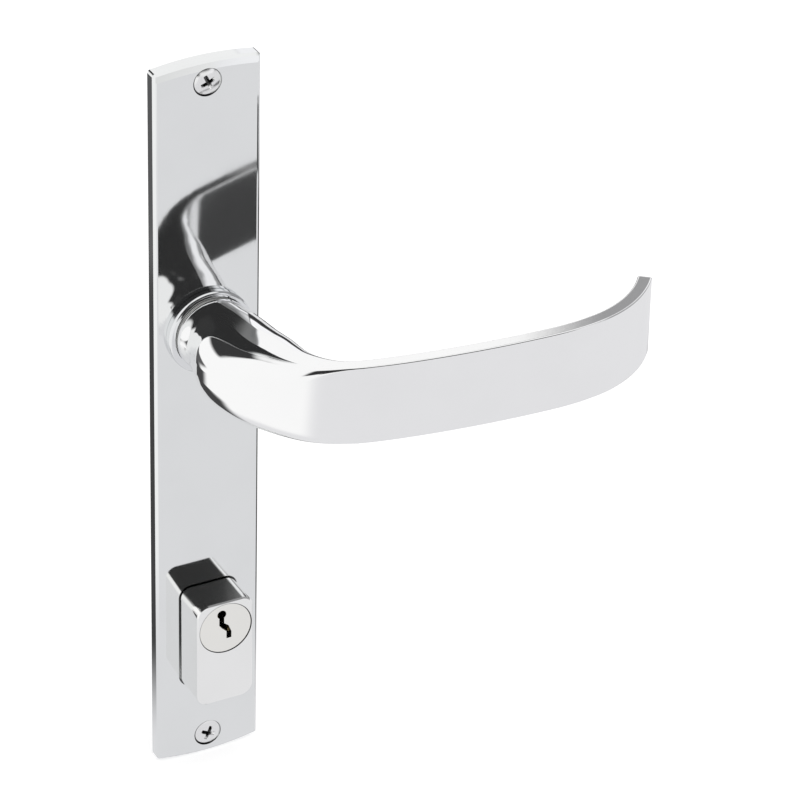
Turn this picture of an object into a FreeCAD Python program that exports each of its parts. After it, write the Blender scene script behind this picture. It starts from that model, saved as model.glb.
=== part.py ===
import FreeCAD, Part
import math
import os

from FreeCAD import Vector

# Outside trim of a narrow gate lock: long plate, sprung lever handle and profile cylinder.
# The front faces -Y, +Z is up and the lever points to +X. The origin is where the lever's
# axis meets the plane of the plate's back. Lengths are millimetres, angles are degrees.

# Backplate
PLATE_WIDTH = 31.0
PLATE_TOP = 80.7
PLATE_BOTTOM = 139.2
END_BULGE = 1.3
CORNER_RADIUS = 1.0
PLATE_DEPTH = 3.9
CROWN = 0.3
BEVEL = 0.7
FACE_WALL = 1.6
SIDE_WALL = 1.8
RIM_WALL = 1.5

# Fixing screws, M4 raised countersunk with a cross recess
SCREW_INSET = 6.3
SCREW_RADIUS = 2.0
SCREW_NECK_RADIUS = 1.6
SCREW_LENGTH = 10.0
SCREW_HEAD_RADIUS = 3.8
SCREW_HEAD_RISE = 0.7
SCREW_HEAD_SINK = 0.3
SCREW_CONE_ANGLE = 90.0
SCREW_HOLE_CLEARANCE = 0.2
RECESS_WIDTH = 0.9
RECESS_SPAN = 4.4
RECESS_DEPTH = 1.9
SCREW_HOLE_WALL = 1.5

# Lever hub and its bearing
JOURNAL_RADIUS = 8.0
RUNNING_CLEARANCE = 0.05
BUSH_WALL = 0.95
BUSH_FLANGE_THICKNESS = 0.5
SLEEVE_WALL = 1.2
COLLAR_RADIUS = 12.3
COLLAR_HEIGHT = 2.4
COLLAR_EDGE = 0.8
COLLAR_SEAT = 0.3
COLLAR_SEAT_CLEARANCE = 0.1
FACE_CLEARANCE = 0.3

# Spring housing behind the plate; its flange fills the hollow, flush with the plate's rim
HOUSING_FIT = 0.3
HOUSING_WALL = 1.0
HOUSING_BORE = 10.9
AXIAL_PLAY = 0.1
STOP_DISC_THICKNESS = 1.3
STOP_DISC_RADIUS = 9.3
STOP_DISC_SIDES = 24
STOP_LUG_RADIUS = 10.5
STOP_LUG_ANGLE = 24.0
STOP_BLOCK_RADIUS = 9.7
STOP_BLOCK_ANGLE = 20.0
LEVER_TRAVEL = 45.0
STOP_MIDDLE_ANGLE = 90.0
HUB_FLATS = 13.6
CIRCLIP_THICKNESS = 0.9
CIRCLIP_GROOVE_DEPTH = 0.5
CIRCLIP_WALL = 1.1
CIRCLIP_GAP_ANGLE = 50.0
CIRCLIP_FLATS = 18
COVER_THICKNESS = 1.0
COVER_HOLE_RADIUS = 6.7
COVER_HOLE_SIDES = 12

# Spiral return spring, wound from strip; hidden, so its turns are drawn with flats
SPRING_WIDTH = 2.0
SPRING_STRIP = 0.4
SPRING_COIL_GAP = 0.5
SPRING_TURNS = 2
SPRING_FLATS = 16
SPRING_HUB_RADIUS = 6.9
SPRING_START_GAP = 0.4
SPRING_HOOK_DEPTH = 1.3
SPRING_TAIL_RADIUS = 11.7
SPRING_WINDOW_MARGIN = 4.0

# Lever handle: a chain of straight and curved stretches, each a length and a turn
NECK_START_GAP = 0.25
NECK_LENGTH = 13.2
SWEEP_LENGTH = 22.7
SWEEP_TURN = 26.3
ELBOW_LENGTH = 20.8
ELBOW_TURN = 49.6
EASE_LENGTH = 13.0
EASE_TURN = 4.8
BOW_LENGTH = 40.2
BOW_TURN = 7.6
SHOULDER_LENGTH = 14.3
SHOULDER_TURN = 12.4
CURL_LENGTH = 32.9
CURL_TURN = 52.3
GRIP_HEIGHT = 23.3
GRIP_THICKNESS = 3.9
GRIP_EDGE = 0.4
FLAT_START = 0.05
CORNER_FLATS = 5

# Sections at even steps along the neck and the elbow, up to where the flat grip starts: reach
# from the centre line on the outer side, reach on the inner side, half height, corner radius
NECK_SECTIONS = (
    (10.4, 11.0, 10.6, 10.4),
    (9.9, 11.6, 10.8, 10.2),
    (10.5, 12.0, 11.2, 9.9),
    (11.6, 12.3, 11.5, 9.8),
    (11.9, 12.3, 11.6, 9.5),
    (11.2, 11.9, 11.6, 8.6),
    (9.8, 10.9, 11.65, 7.3),
    (8.1, 9.3, 11.65, 6.2),
    (6.4, 7.2, 11.65, 4.8),
    (4.7, 5.2, 11.65, 3.1),
    (3.1, 3.3, 11.65, 1.6),
    (2.1, 2.1, 11.65, 0.7),
)

# Square spindle and its grub screw
SPINDLE_SIZE = 8.0
SPINDLE_LENGTH = 50.0
SPINDLE_DEPTH = 25.0
SPINDLE_EDGE = 0.5
SPINDLE_CLEARANCE = 0.05
GRUB_RADIUS = 3.0
GRUB_RECESS = 1.85
GRUB_SETBACK = 12.0
GRUB_SOCKET = 3.0
GRUB_SOCKET_DEPTH = 2.4

# Profile cylinder
CYLINDER_DROP = 90.0
CYLINDER_WIDTH = 17.0
CYLINDER_RISE = 8.5
CYLINDER_FALL = 24.5
SHOULDER_RADIUS = 3.3
FOOT_RADIUS = 3.6
CYLINDER_PROJECTION = 11.2
CYLINDER_LENGTH = 26.6
CYLINDER_CLEARANCE = 0.4
CYLINDER_EDGE = 0.4
CAM_THICKNESS = 2.0
CAM_HUB_RADIUS = 7.0
CAM_REACH = 16.0
CAM_TONGUE = 7.0
CAM_ANGLE = -30.0
CYLINDER_SCREW_RADIUS = 2.5
CYLINDER_SCREW_HEIGHT = 4.5
CYLINDER_SCREW_SETBACK = 3.5

# Plug and keyway
PLUG_FACE_RADIUS = 7.75
PLUG_FACE_THICKNESS = 2.0
PLUG_FACE_GAP = 0.1
PLUG_RADIUS = 6.4
TAIL_RADIUS = 4.5
TAIL_FLATS = 6.6
TAIL_END = 0.8
KEYWAY_HEAD_RADIUS = 1.35
KEYWAY_HEAD_PLACE = (-1.1, 4.65)
KEYWAY_BLADE = (
    (-0.35, 4.65),
    (-0.35, 1.65),
    (0.95, 0.65),
    (1.85, -1.6),
    (1.85, -3.6),
    (0.35, -3.6),
    (0.35, -1.25),
    (-0.95, 0.0),
    (-1.85, 1.15),
    (-1.85, 4.65),
)
KEYWAY_END_WALL = 1.5
PLUG_CLIP_THICKNESS = 0.8
PLUG_CLIP_WALL = 1.4

# Pin chambers and what stands in them, drawn with flats, since they repeat and stay hidden
PIN_COUNT = 5
PIN_PITCH = 3.3
FIRST_PIN = 3.6
PIN_RADIUS = 1.2
PIN_CLEARANCE = 0.1
PIN_SIDES = 8
KEY_PIN_LENGTHS = (4.6, 3.6, 5.1, 4.1, 3.1)
KEY_PIN_POINT = 0.8
SHEAR_GAP = 0.15
PIN_HEADROOM = 0.3
DRIVER_LENGTH = 4.6
CAP_THICKNESS = 1.4
PIN_SPRING_WALL = 0.35

# How far shapes run into each other where they are fused into one piece
OVERLAP = 0.1

# Places that follow from the values above
PLATE_FRONT = -PLATE_DEPTH
PLATE_FLOOR = PLATE_FRONT + FACE_WALL
SCREW_TOP_Z = PLATE_TOP - SCREW_INSET
SCREW_BOTTOM_Z = SCREW_INSET - PLATE_BOTTOM
BUSH_BORE = JOURNAL_RADIUS + RUNNING_CLEARANCE
SLEEVE_BORE = BUSH_BORE + BUSH_WALL
SLEEVE_RADIUS = SLEEVE_BORE + SLEEVE_WALL
COLLAR_FRONT = PLATE_FRONT - COLLAR_HEIGHT
NECK_START = COLLAR_FRONT - BUSH_FLANGE_THICKNESS - NECK_START_GAP
HOUSING_RADIUS = HOUSING_BORE + HOUSING_WALL
FLANGE_BACK = 0.0
DISC_FRONT = FLANGE_BACK + AXIAL_PLAY
DISC_BACK = DISC_FRONT + STOP_DISC_THICKNESS
CIRCLIP_FRONT = DISC_BACK + AXIAL_PLAY
CIRCLIP_BACK = CIRCLIP_FRONT + CIRCLIP_THICKNESS
SPRING_FRONT = CIRCLIP_BACK + FACE_CLEARANCE
SPRING_BACK = SPRING_FRONT + SPRING_WIDTH
HUB_BACK = SPRING_BACK + FACE_CLEARANCE
COVER_FRONT = HUB_BACK + FACE_CLEARANCE
COVER_BACK = COVER_FRONT + COVER_THICKNESS
CYLINDER_FRONT = PLATE_FRONT - CYLINDER_PROJECTION
CYLINDER_BACK = CYLINDER_FRONT + CYLINDER_LENGTH
CAM_FRONT = CYLINDER_BACK + FACE_CLEARANCE
CAM_BACK = CAM_FRONT + CAM_THICKNESS
PLUG_CLIP_FRONT = CAM_BACK + AXIAL_PLAY
PLUG_CLIP_BACK = PLUG_CLIP_FRONT + PLUG_CLIP_THICKNESS
PLUG_AXIS_Z = -CYLINDER_DROP
PLUG_BORE = PLUG_RADIUS + RUNNING_CLEARANCE
CHAMBER_RADIUS = PIN_RADIUS + PIN_CLEARANCE
SPINDLE_FRONT = NECK_START - SPINDLE_DEPTH
GRUB_LENGTH = (GRIP_HEIGHT - SPINDLE_SIZE) / 2 - GRUB_RECESS


def rod(radius, front, back, x=0.0, z=0.0):
    """Cylinder along Y between two depths."""
    return Part.makeCylinder(radius, back - front, Vector(x, front, z), Vector(0, 1, 0))


def tube(outer, inner, front, back, x=0.0, z=0.0):
    return rod(outer, front, back, x, z).cut(rod(inner, front - 1, back + 1, x, z))


def block(x0, x1, y0, y1, z0, z1):
    return Part.makeBox(x1 - x0, y1 - y0, z1 - z0, Vector(x0, y0, z0))


def point(radius, angle, y=0.0, z=0.0):
    """Point on a circle round the Y axis; the angle runs from +X towards +Z."""
    turn = math.radians(angle)
    return Vector(radius * math.cos(turn), y, z + radius * math.sin(turn))


def prism(points, front, back):
    """Closed polygon in the XZ plane, drawn out along Y."""
    corners = [Vector(x, front, z) for x, z in points]
    wire = Part.makePolygon(corners + corners[:1])
    return Part.Face(wire).extrude(Vector(0, back - front, 0))


def many_sided(radius, sides, front, back):
    """Bar along Y with even sides, its corners on a circle."""
    corners = [point(radius, 360 * index / sides) for index in range(sides)]
    return prism([(corner.x, corner.z) for corner in corners], front, back)


def sector(radius, start, end, front, back):
    """Pie slice round the Y axis."""
    a = point(radius, start, front)
    b = point(radius, end, front)
    middle = point(radius, (start + end) / 2, front)
    centre = Vector(0, front, 0)
    edges = [Part.LineSegment(centre, a), Part.Arc(a, middle, b), Part.LineSegment(b, centre)]
    wire = Part.Wire([edge.toShape() for edge in edges])
    return Part.Face(wire).extrude(Vector(0, back - front, 0))


def edges_along(shape, direction, test):
    """Straight edges that run one way and pass a test on their middle point."""
    chosen = []
    for edge in shape.Edges:
        if not isinstance(edge.Curve, (Part.Line, Part.LineSegment)):
            continue
        way = edge.Vertexes[-1].Point - edge.Vertexes[0].Point
        if way.Length < 1e-6 or way.cross(direction).Length > 1e-6 * way.Length:
            continue
        if test(edge.CenterOfMass):
            chosen.append(edge)
    return chosen


def plate_outline(y):
    """Plate's outline with bowed ends."""
    half = PLATE_WIDTH / 2
    top_corner = PLATE_TOP - END_BULGE
    bottom_corner = END_BULGE - PLATE_BOTTOM
    top_middle = Vector(0, y, PLATE_TOP)
    bottom_middle = Vector(0, y, -PLATE_BOTTOM)
    curves = [
        Part.LineSegment(Vector(-half, y, bottom_corner), Vector(-half, y, top_corner)),
        Part.Arc(Vector(-half, y, top_corner), top_middle, Vector(half, y, top_corner)),
        Part.LineSegment(Vector(half, y, top_corner), Vector(half, y, bottom_corner)),
        Part.Arc(Vector(half, y, bottom_corner), bottom_middle, Vector(-half, y, bottom_corner)),
    ]
    return Part.Wire([curve.toShape() for curve in curves])


def crowned_stock():
    """Full-length bar whose front is crowned and bevelled along both long edges."""
    half = PLATE_WIDTH / 2
    shoulder = PLATE_FRONT + CROWN
    low = -PLATE_BOTTOM - 1
    height = PLATE_TOP + PLATE_BOTTOM + 2
    left = Vector(BEVEL - half, shoulder, low)
    right = Vector(half - BEVEL, shoulder, low)
    edges = [
        Part.LineSegment(Vector(-half, 0, low), Vector(-half, shoulder + BEVEL, low)),
        Part.LineSegment(Vector(-half, shoulder + BEVEL, low), left),
        Part.Arc(left, Vector(0, PLATE_FRONT, low), right),
        Part.LineSegment(right, Vector(half, shoulder + BEVEL, low)),
        Part.LineSegment(Vector(half, shoulder + BEVEL, low), Vector(half, 0, low)),
        Part.LineSegment(Vector(half, 0, low), Vector(-half, 0, low)),
    ]
    wire = Part.Wire([edge.toShape() for edge in edges])
    return Part.Face(wire).extrude(Vector(0, 0, height))


def screw_hole(z):
    """Clearance hole and countersink through the plate's face."""
    radius = SCREW_RADIUS + SCREW_HOLE_CLEARANCE
    mouth = SCREW_HEAD_RADIUS + SCREW_HOLE_CLEARANCE
    top = PLATE_FRONT + SCREW_HEAD_SINK
    depth = (mouth - radius) / math.tan(math.radians(SCREW_CONE_ANGLE / 2))
    hole = rod(radius, PLATE_FRONT - 1, 1, 0, z)
    sink = Part.makeCone(mouth, radius, depth, Vector(0, top, z), Vector(0, 1, 0))
    seat = rod(mouth, PLATE_FRONT - 1, top, 0, z)
    return hole.fuse([sink, seat])


def cylinder_outline(y, grow):
    """Cylinder's section: an upright rectangle with its corners rounded."""
    half = CYLINDER_WIDTH / 2 + grow
    top = PLUG_AXIS_Z + CYLINDER_RISE + grow
    bottom = PLUG_AXIS_Z - CYLINDER_FALL - grow
    crown = SHOULDER_RADIUS + grow
    foot = FOOT_RADIUS + grow
    # Share of a corner's radius between the square corner and the middle of its arc.
    share = 1 - math.sqrt(0.5)
    curves = [
        Part.LineSegment(Vector(crown - half, y, top), Vector(half - crown, y, top)),
        Part.Arc(
            Vector(half - crown, y, top),
            Vector(half - crown * share, y, top - crown * share),
            Vector(half, y, top - crown),
        ),
        Part.LineSegment(Vector(half, y, top - crown), Vector(half, y, bottom + foot)),
        Part.Arc(
            Vector(half, y, bottom + foot),
            Vector(half - foot * share, y, bottom + foot * share),
            Vector(half - foot, y, bottom),
        ),
        Part.LineSegment(Vector(half - foot, y, bottom), Vector(foot - half, y, bottom)),
        Part.Arc(
            Vector(foot - half, y, bottom),
            Vector(foot * share - half, y, bottom + foot * share),
            Vector(-half, y, bottom + foot),
        ),
        Part.LineSegment(Vector(-half, y, bottom + foot), Vector(-half, y, top - crown)),
        Part.Arc(
            Vector(-half, y, top - crown),
            Vector(crown * share - half, y, top - crown * share),
            Vector(crown - half, y, top),
        ),
    ]
    return Part.Wire([curve.toShape() for curve in curves])


def cylinder_prism(front, back, grow=0.0):
    """Bar with the cylinder's section, or one larger all round, between two depths."""
    return Part.Face(cylinder_outline(front, grow)).extrude(Vector(0, back - front, 0))


def backplate():
    """Crowned plate with bevelled edges, hollow behind between two solid ends for the screws."""
    outline = Part.Face(plate_outline(PLATE_FRONT - 1)).extrude(Vector(0, PLATE_DEPTH + 2, 0))
    plate = crowned_stock().common(outline)
    ends = []
    for edge in plate.Edges:
        centre = edge.CenterOfMass
        at_end = centre.z > PLATE_TOP - END_BULGE or centre.z < END_BULGE - PLATE_BOTTOM
        in_front = centre.y < PLATE_FRONT + CROWN / 2
        if at_end and in_front:
            ends.append(edge)
    plate = plate.makeChamfer(BEVEL, ends)
    corners = edges_along(plate, Vector(0, 1, 0), lambda p: abs(p.x) > PLATE_WIDTH / 2 - 1e-3)
    plate = plate.makeFillet(CORNER_RADIUS, corners)
    wall = SCREW_RADIUS + SCREW_HOLE_CLEARANCE + SCREW_HOLE_WALL
    inside = PLATE_WIDTH / 2 - SIDE_WALL
    hollow = block(-inside, inside, PLATE_FLOOR, 1, SCREW_BOTTOM_Z + wall, SCREW_TOP_Z - wall)
    rim = cylinder_prism(PLATE_FLOOR - OVERLAP, 1, CYLINDER_CLEARANCE + RIM_WALL)
    openings = [
        hollow.cut(rim),
        cylinder_prism(PLATE_FRONT - 1, 1, CYLINDER_CLEARANCE),
        rod(SLEEVE_RADIUS, PLATE_FRONT - 1, 1),
        rod(COLLAR_RADIUS + COLLAR_SEAT_CLEARANCE, PLATE_FRONT - 1, PLATE_FRONT + COLLAR_SEAT),
        screw_hole(SCREW_TOP_Z),
        screw_hole(SCREW_BOTTOM_Z),
    ]
    return plate.cut(openings)


def fixing_screw(z):
    """Raised countersunk screw with a cross recess; its thread starts behind the plate."""
    rim = PLATE_FRONT + SCREW_HEAD_SINK
    flare = SCREW_HEAD_RADIUS - SCREW_NECK_RADIUS
    depth = flare / math.tan(math.radians(SCREW_CONE_ANGLE / 2))
    dome_radius = (SCREW_HEAD_RADIUS**2 + SCREW_HEAD_RISE**2) / (2 * SCREW_HEAD_RISE)
    crest = Vector(0, rim - SCREW_HEAD_RISE, z)
    head_edge = Vector(SCREW_HEAD_RADIUS, rim, z)
    between = math.asin(SCREW_HEAD_RADIUS / dome_radius) / 2
    shoulder_x = dome_radius * math.sin(between)
    shoulder_y = crest.y + dome_radius * (1 - math.cos(between))
    neck = Vector(SCREW_NECK_RADIUS, rim + depth, z)
    neck_end = Vector(SCREW_NECK_RADIUS, 0, z)
    thread = Vector(SCREW_RADIUS, 0, z)
    end = Vector(SCREW_RADIUS, rim + SCREW_LENGTH, z)
    edges = [
        Part.Arc(crest, Vector(shoulder_x, shoulder_y, z), head_edge),
        Part.LineSegment(head_edge, neck),
        Part.LineSegment(neck, neck_end),
        Part.LineSegment(neck_end, thread),
        Part.LineSegment(thread, end),
        Part.LineSegment(end, Vector(0, end.y, z)),
        Part.LineSegment(Vector(0, end.y, z), crest),
    ]
    wire = Part.Wire([edge.toShape() for edge in edges])
    screw = Part.Face(wire).revolve(Vector(0, 0, z), Vector(0, 1, 0), 360)
    half = RECESS_WIDTH / 2
    span = RECESS_SPAN / 2
    front = crest.y - 1
    back = crest.y + RECESS_DEPTH
    across = block(-span, span, front, back, z - half, z + half)
    upright = block(-half, half, front, back, z - span, z + span)
    return screw.cut(across.fuse(upright))


def fixing_screws():
    return Part.makeCompound([fixing_screw(SCREW_TOP_Z), fixing_screw(SCREW_BOTTOM_Z)])


def collar_ring():
    """Round nut with a bevelled edge that clamps the plate to the sleeve behind it."""
    back = PLATE_FRONT + COLLAR_SEAT
    ring = rod(COLLAR_RADIUS, COLLAR_FRONT, back)
    rim = [e for e in ring.Edges if abs(e.CenterOfMass.y - COLLAR_FRONT) < 1e-3]
    return ring.makeChamfer(COLLAR_EDGE, rim).cut(rod(SLEEVE_RADIUS, COLLAR_FRONT - 1, back + 1))


def bearing_bush():
    sleeve = rod(SLEEVE_BORE, COLLAR_FRONT, FLANGE_BACK)
    flange = rod(SLEEVE_RADIUS, COLLAR_FRONT - BUSH_FLANGE_THICKNESS, COLLAR_FRONT)
    return sleeve.fuse(flange).cut(rod(BUSH_BORE, COLLAR_FRONT - 2, FLANGE_BACK + 1)).removeSplitter()


def stop_centre():
    """Angle of the disc's lug at rest, measured from +X towards +Z."""
    return STOP_MIDDLE_ANGLE + LEVER_TRAVEL / 2


def spring_housing():
    """Cup behind the plate with the sleeve that passes through it and two stop blocks."""
    half = PLATE_WIDTH / 2 - SIDE_WALL - HOUSING_FIT
    flange = block(-half, half, PLATE_FLOOR, FLANGE_BACK, -HOUSING_RADIUS, HOUSING_RADIUS)
    sleeve = rod(SLEEVE_RADIUS, COLLAR_FRONT, FLANGE_BACK)
    cup = tube(HOUSING_RADIUS, HOUSING_BORE, FLANGE_BACK - OVERLAP, COVER_BACK)
    body = flange.fuse([sleeve, cup])
    lug_edge = STOP_LUG_ANGLE / 2
    high = stop_centre() + lug_edge
    low = stop_centre() - LEVER_TRAVEL - lug_edge
    ring = tube(HOUSING_BORE + OVERLAP, STOP_BLOCK_RADIUS, FLANGE_BACK - OVERLAP, DISC_BACK)
    for start, end in ((high, high + STOP_BLOCK_ANGLE), (low - STOP_BLOCK_ANGLE, low)):
        pie = sector(HOUSING_RADIUS, start, end, FLANGE_BACK - OVERLAP, DISC_BACK)
        body = body.fuse(ring.common(pie))
    window = sector(
        HOUSING_RADIUS + 1,
        -LEVER_TRAVEL - SPRING_WINDOW_MARGIN,
        SPRING_WINDOW_MARGIN,
        SPRING_FRONT - FACE_CLEARANCE,
        COVER_FRONT,
    )
    window = window.cut(rod(HOUSING_BORE - 1, SPRING_FRONT - 1, COVER_BACK + 1))
    body = body.cut([rod(SLEEVE_BORE, COLLAR_FRONT - 1, FLANGE_BACK + 1), window])
    return body.removeSplitter()


def hub_flat(front, back, clearance=0.0):
    """What the two flats leave of the hub, as a bar through it."""
    half = HUB_FLATS / 2 + clearance
    reach = JOURNAL_RADIUS + 1
    return block(-reach, reach, front, back, -half, half)


def stop_disc():
    lug = sector(STOP_LUG_RADIUS, stop_centre() - STOP_LUG_ANGLE / 2,
                 stop_centre() + STOP_LUG_ANGLE / 2, DISC_FRONT, DISC_BACK)
    disc = many_sided(STOP_DISC_RADIUS, STOP_DISC_SIDES, DISC_FRONT, DISC_BACK).fuse(lug)
    bore = rod(JOURNAL_RADIUS + SPINDLE_CLEARANCE, DISC_FRONT - 1, DISC_BACK + 1)
    bore = bore.common(hub_flat(DISC_FRONT - 1, DISC_BACK + 1, SPINDLE_CLEARANCE))
    return disc.cut(bore).removeSplitter()


def snap_ring(groove_radius, wall, thickness, front, z=0.0):
    """Open retaining ring with its gap at the bottom, whose flats touch the groove's floor."""
    step = (360 - CIRCLIP_GAP_ANGLE) / CIRCLIP_FLATS
    corner_radius = groove_radius / math.cos(math.radians(step / 2))
    inner, outer = [], []
    for index in range(CIRCLIP_FLATS + 1):
        angle = CIRCLIP_GAP_ANGLE / 2 - 90 + step * index
        inner.append(point(corner_radius, angle, front, z))
        outer.append(point(groove_radius + wall, angle, front, z))
    ring = Part.Face(Part.makePolygon(outer + inner[::-1] + outer[:1]))
    return ring.extrude(Vector(0, thickness, 0))


def hub_circlip():
    groove = JOURNAL_RADIUS - CIRCLIP_GROOVE_DEPTH
    return snap_ring(groove, CIRCLIP_WALL + CIRCLIP_GROOVE_DEPTH, CIRCLIP_THICKNESS, CIRCLIP_FRONT)


def spiral_side(start_radius):
    """Points along one side of the wound strip; the radius grows evenly with the turn."""
    pitch = SPRING_STRIP + SPRING_COIL_GAP
    points = []
    for index in range(SPRING_TURNS * SPRING_FLATS + 1):
        turns = index / SPRING_FLATS
        points.append(point(start_radius + pitch * turns, 360 * turns, SPRING_FRONT))
    return points


def return_spring():
    """Spiral strip: hooked into the hub inside, its tail out through the housing's window."""
    inner_radius = SPRING_HUB_RADIUS + SPRING_START_GAP
    inner = spiral_side(inner_radius)
    outer = spiral_side(inner_radius + SPRING_STRIP)
    loop = Part.makePolygon(inner + outer[::-1] + inner[:1])
    strip = Part.Face(loop).extrude(Vector(0, SPRING_WIDTH, 0))
    hook_end = SPRING_HUB_RADIUS - SPRING_HOOK_DEPTH
    hook = block(hook_end, outer[0].x, SPRING_FRONT, SPRING_BACK, -SPRING_STRIP, 0)
    tail = block(inner[-1].x, SPRING_TAIL_RADIUS, SPRING_FRONT, SPRING_BACK, -SPRING_STRIP, 0)
    return strip.fuse([hook, tail]).removeSplitter()


def housing_cover():
    """Stamped disc pressed into the housing, with a many-sided hole for the spindle."""
    hole = many_sided(COVER_HOLE_RADIUS, COVER_HOLE_SIDES, COVER_FRONT - 1, COVER_BACK + 1)
    return rod(HOUSING_BORE, COVER_FRONT, COVER_BACK).cut(hole)


def advance(place, length, turn):
    """Where a bend of this length and turn ends, from an X, Y and heading."""
    x, y, heading = place
    middle = math.radians(heading + turn / 2)
    bend = math.radians(turn / 2)
    chord = length * (math.sin(bend) / bend if bend else 1.0)
    return x + chord * math.sin(middle), y - chord * math.cos(middle), heading + turn


def beside(place, offset):
    """Point beside the lever's centre line, on its inner side for a positive offset."""
    x, y, heading = place
    turn = math.radians(heading)
    return Vector(x + offset * math.cos(turn), y + offset * math.sin(turn), 0)


def neck_places():
    """Places at even steps along the centre line of the neck and the elbow."""
    bends = ((NECK_LENGTH, 0.0), (SWEEP_LENGTH, SWEEP_TURN), (ELBOW_LENGTH, ELBOW_TURN))
    whole = sum(length for length, _ in bends)
    places = []
    for index in range(len(NECK_SECTIONS) + 1):
        left = whole * index / len(NECK_SECTIONS)
        place = (0.0, NECK_START, 0.0)
        for length, turn in bends:
            share = min(left / length, 1.0)
            place = advance(place, length * share, turn * share)
            left -= length * share
        places.append(place)
    return places


def neck_section(place, reaches):
    """Rectangle with rounded corners across the lever, from a row of the table of sections."""
    outer, inner, half_height, corner = reaches
    corner = min(corner, (outer + inner) / 2 - FLAT_START, half_height - FLAT_START)
    corners = []
    for quarter in range(4):
        side = inner - corner if quarter in (0, 3) else corner - outer
        rise = half_height - corner if quarter in (0, 1) else corner - half_height
        for step in range(CORNER_FLATS + 1):
            turn = math.radians(90 * (quarter + step / CORNER_FLATS))
            spot = beside(place, side + corner * math.cos(turn))
            corners.append(spot + Vector(0, 0, rise + corner * math.sin(turn)))
    return Part.makePolygon(corners + corners[:1])


def neck_loft():
    """Round neck that swells into the elbow and thins to the grip's flat section."""
    half = GRIP_THICKNESS / 2
    rows = NECK_SECTIONS + ((half, half, GRIP_HEIGHT / 2, GRIP_EDGE),)
    sections = [neck_section(place, row) for place, row in zip(neck_places(), rows)]
    return Part.makeLoft(sections, True, False)


def grip_bar():
    """Flat bar bent along the rest of the lever, its long edges bevelled."""
    place = neck_places()[-1]
    half = GRIP_THICKNESS / 2
    outer, inner = [], []
    for length, turn in (
        (EASE_LENGTH, EASE_TURN),
        (BOW_LENGTH, BOW_TURN),
        (SHOULDER_LENGTH, SHOULDER_TURN),
        (CURL_LENGTH, CURL_TURN),
    ):
        middle = advance(place, length / 2, turn / 2)
        end = advance(place, length, turn)
        for side, curves in ((-half, outer), (half, inner)):
            curves.append(Part.Arc(beside(place, side), beside(middle, side), beside(end, side)))
        place = end
    tip = Part.LineSegment(outer[-1].EndPoint, inner[-1].EndPoint)
    root = Part.LineSegment(inner[0].StartPoint, outer[0].StartPoint)
    loop = outer + [tip] + inner[::-1] + [root]
    face = Part.Face(Part.Wire([curve.toShape() for curve in loop]))
    face.translate(Vector(0, 0, -GRIP_HEIGHT / 2))
    bar = face.extrude(Vector(0, 0, GRIP_HEIGHT))
    long_edges = []
    for edge in bar.Edges:
        level = abs(abs(edge.CenterOfMass.z) - GRIP_HEIGHT / 2) < 1e-3
        if level and isinstance(edge.Curve, Part.Circle):
            long_edges.append(edge)
    return bar.makeChamfer(GRIP_EDGE, long_edges)


def lever_handle():
    """One casting: curved grip, round neck, hub journal, square socket and grub screw hole."""
    journal = rod(JOURNAL_RADIUS, NECK_START - OVERLAP, DISC_FRONT)
    tail = rod(JOURNAL_RADIUS, DISC_FRONT - OVERLAP, CIRCLIP_BACK)
    tail = tail.common(hub_flat(DISC_FRONT - 1, CIRCLIP_BACK + 1))
    spool = rod(SPRING_HUB_RADIUS, CIRCLIP_BACK - OVERLAP, HUB_BACK)
    lever = neck_loft().fuse([grip_bar(), journal, tail, spool])
    groove_floor = JOURNAL_RADIUS - CIRCLIP_GROOVE_DEPTH
    groove = tube(JOURNAL_RADIUS + 1, groove_floor, CIRCLIP_FRONT, CIRCLIP_BACK)
    half = SPINDLE_SIZE / 2 + SPINDLE_CLEARANCE
    socket = block(-half, half, SPINDLE_FRONT, HUB_BACK + 1, -half, half)
    hook_slot = block(
        SPRING_HUB_RADIUS - SPRING_HOOK_DEPTH - FACE_CLEARANCE,
        SPRING_HUB_RADIUS + 1,
        SPRING_FRONT - FACE_CLEARANCE,
        HUB_BACK + 1,
        -SPRING_STRIP - SPINDLE_CLEARANCE,
        SPINDLE_CLEARANCE,
    )
    grub_place = Vector(0, NECK_START - GRUB_SETBACK, 0)
    grub_hole = Part.makeCylinder(GRUB_RADIUS, GRIP_HEIGHT, grub_place, Vector(0, 0, -1))
    return lever.cut([groove, socket, hook_slot, grub_hole])


def square_spindle():
    half = SPINDLE_SIZE / 2
    back = SPINDLE_FRONT + SPINDLE_LENGTH
    bar = block(-half, half, SPINDLE_FRONT + FACE_CLEARANCE, back, -half, half)
    ends = [e for e in bar.Edges if abs(e.CenterOfMass.y - back) < 1e-3]
    return bar.makeChamfer(SPINDLE_EDGE, ends)


def spindle_grub_screw():
    y = NECK_START - GRUB_SETBACK
    top = -SPINDLE_SIZE / 2
    screw = Part.makeCylinder(GRUB_RADIUS, GRUB_LENGTH, Vector(0, y, top), Vector(0, 0, -1))
    corners = []
    for index in range(6):
        turn = math.radians(60 * index)
        reach = GRUB_SOCKET / 2 / math.cos(math.radians(30))
        corners.append(Vector(reach * math.cos(turn), y + reach * math.sin(turn), top - GRUB_LENGTH))
    hexagon = Part.Face(Part.makePolygon(corners + corners[:1]))
    return screw.cut(hexagon.extrude(Vector(0, 0, GRUB_SOCKET_DEPTH)))


def pin_places():
    """Depth of each pin chamber, counted from behind the plug's face."""
    start = CYLINDER_FRONT + PLUG_FACE_THICKNESS + FIRST_PIN
    return [start + PIN_PITCH * index for index in range(PIN_COUNT)]


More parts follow.
